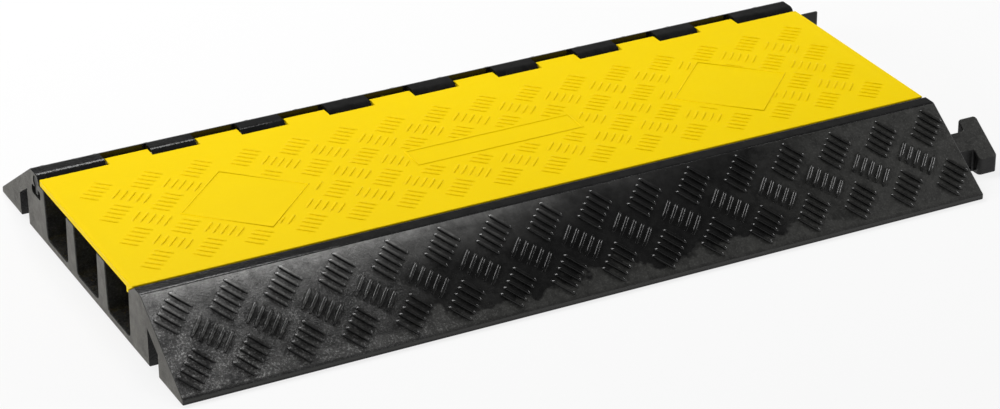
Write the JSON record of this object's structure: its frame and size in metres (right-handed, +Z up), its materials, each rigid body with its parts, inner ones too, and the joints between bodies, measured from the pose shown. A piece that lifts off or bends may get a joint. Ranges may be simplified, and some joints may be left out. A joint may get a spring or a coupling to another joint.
{
  "type": "cable protector ramp",
  "caption": "Low rubber cable protector ramp with open channels under a hinged yellow lid, and T connectors that join it end to end.",
  "frame": {"origin": "on the floor, in the middle of the base's footprint between its two end faces", "axes": "+Z up; +X along the channels towards the male connectors; -Y towards the ramp that the lid opens from, so the hinge is on the +Y side"},
  "size_m": [0.951, 0.5, 0.0715],
  "materials": {
    "black_rubber": "moulded, semi-matt, with a glossy bloom on the ramps and a paler cut face at the channel end",
    "yellow_lid": "moulded polyurethane, satin",
    "rod_steel": "zinc plated",
    "plug_plastic": "moulded nylon, matt, dark"
  },
  "bodies": {
    "base": {"base": "black_rubber", "hinge_rod_left": "rod_steel", "hinge_rod_right": "rod_steel", "rod_plug_left": "plug_plastic", "rod_plug_right": "plug_plastic"},
    "lid": {"lid": "yellow_lid"}
  },
  "joints": [
    {"name": "lid_hinge", "type": "hinge", "parent": "base", "child": "lid", "pos_m": [0, 0.1372, 0.0623], "axis": [-1, 0, 0], "range_deg": [0, 100]}
  ]
}
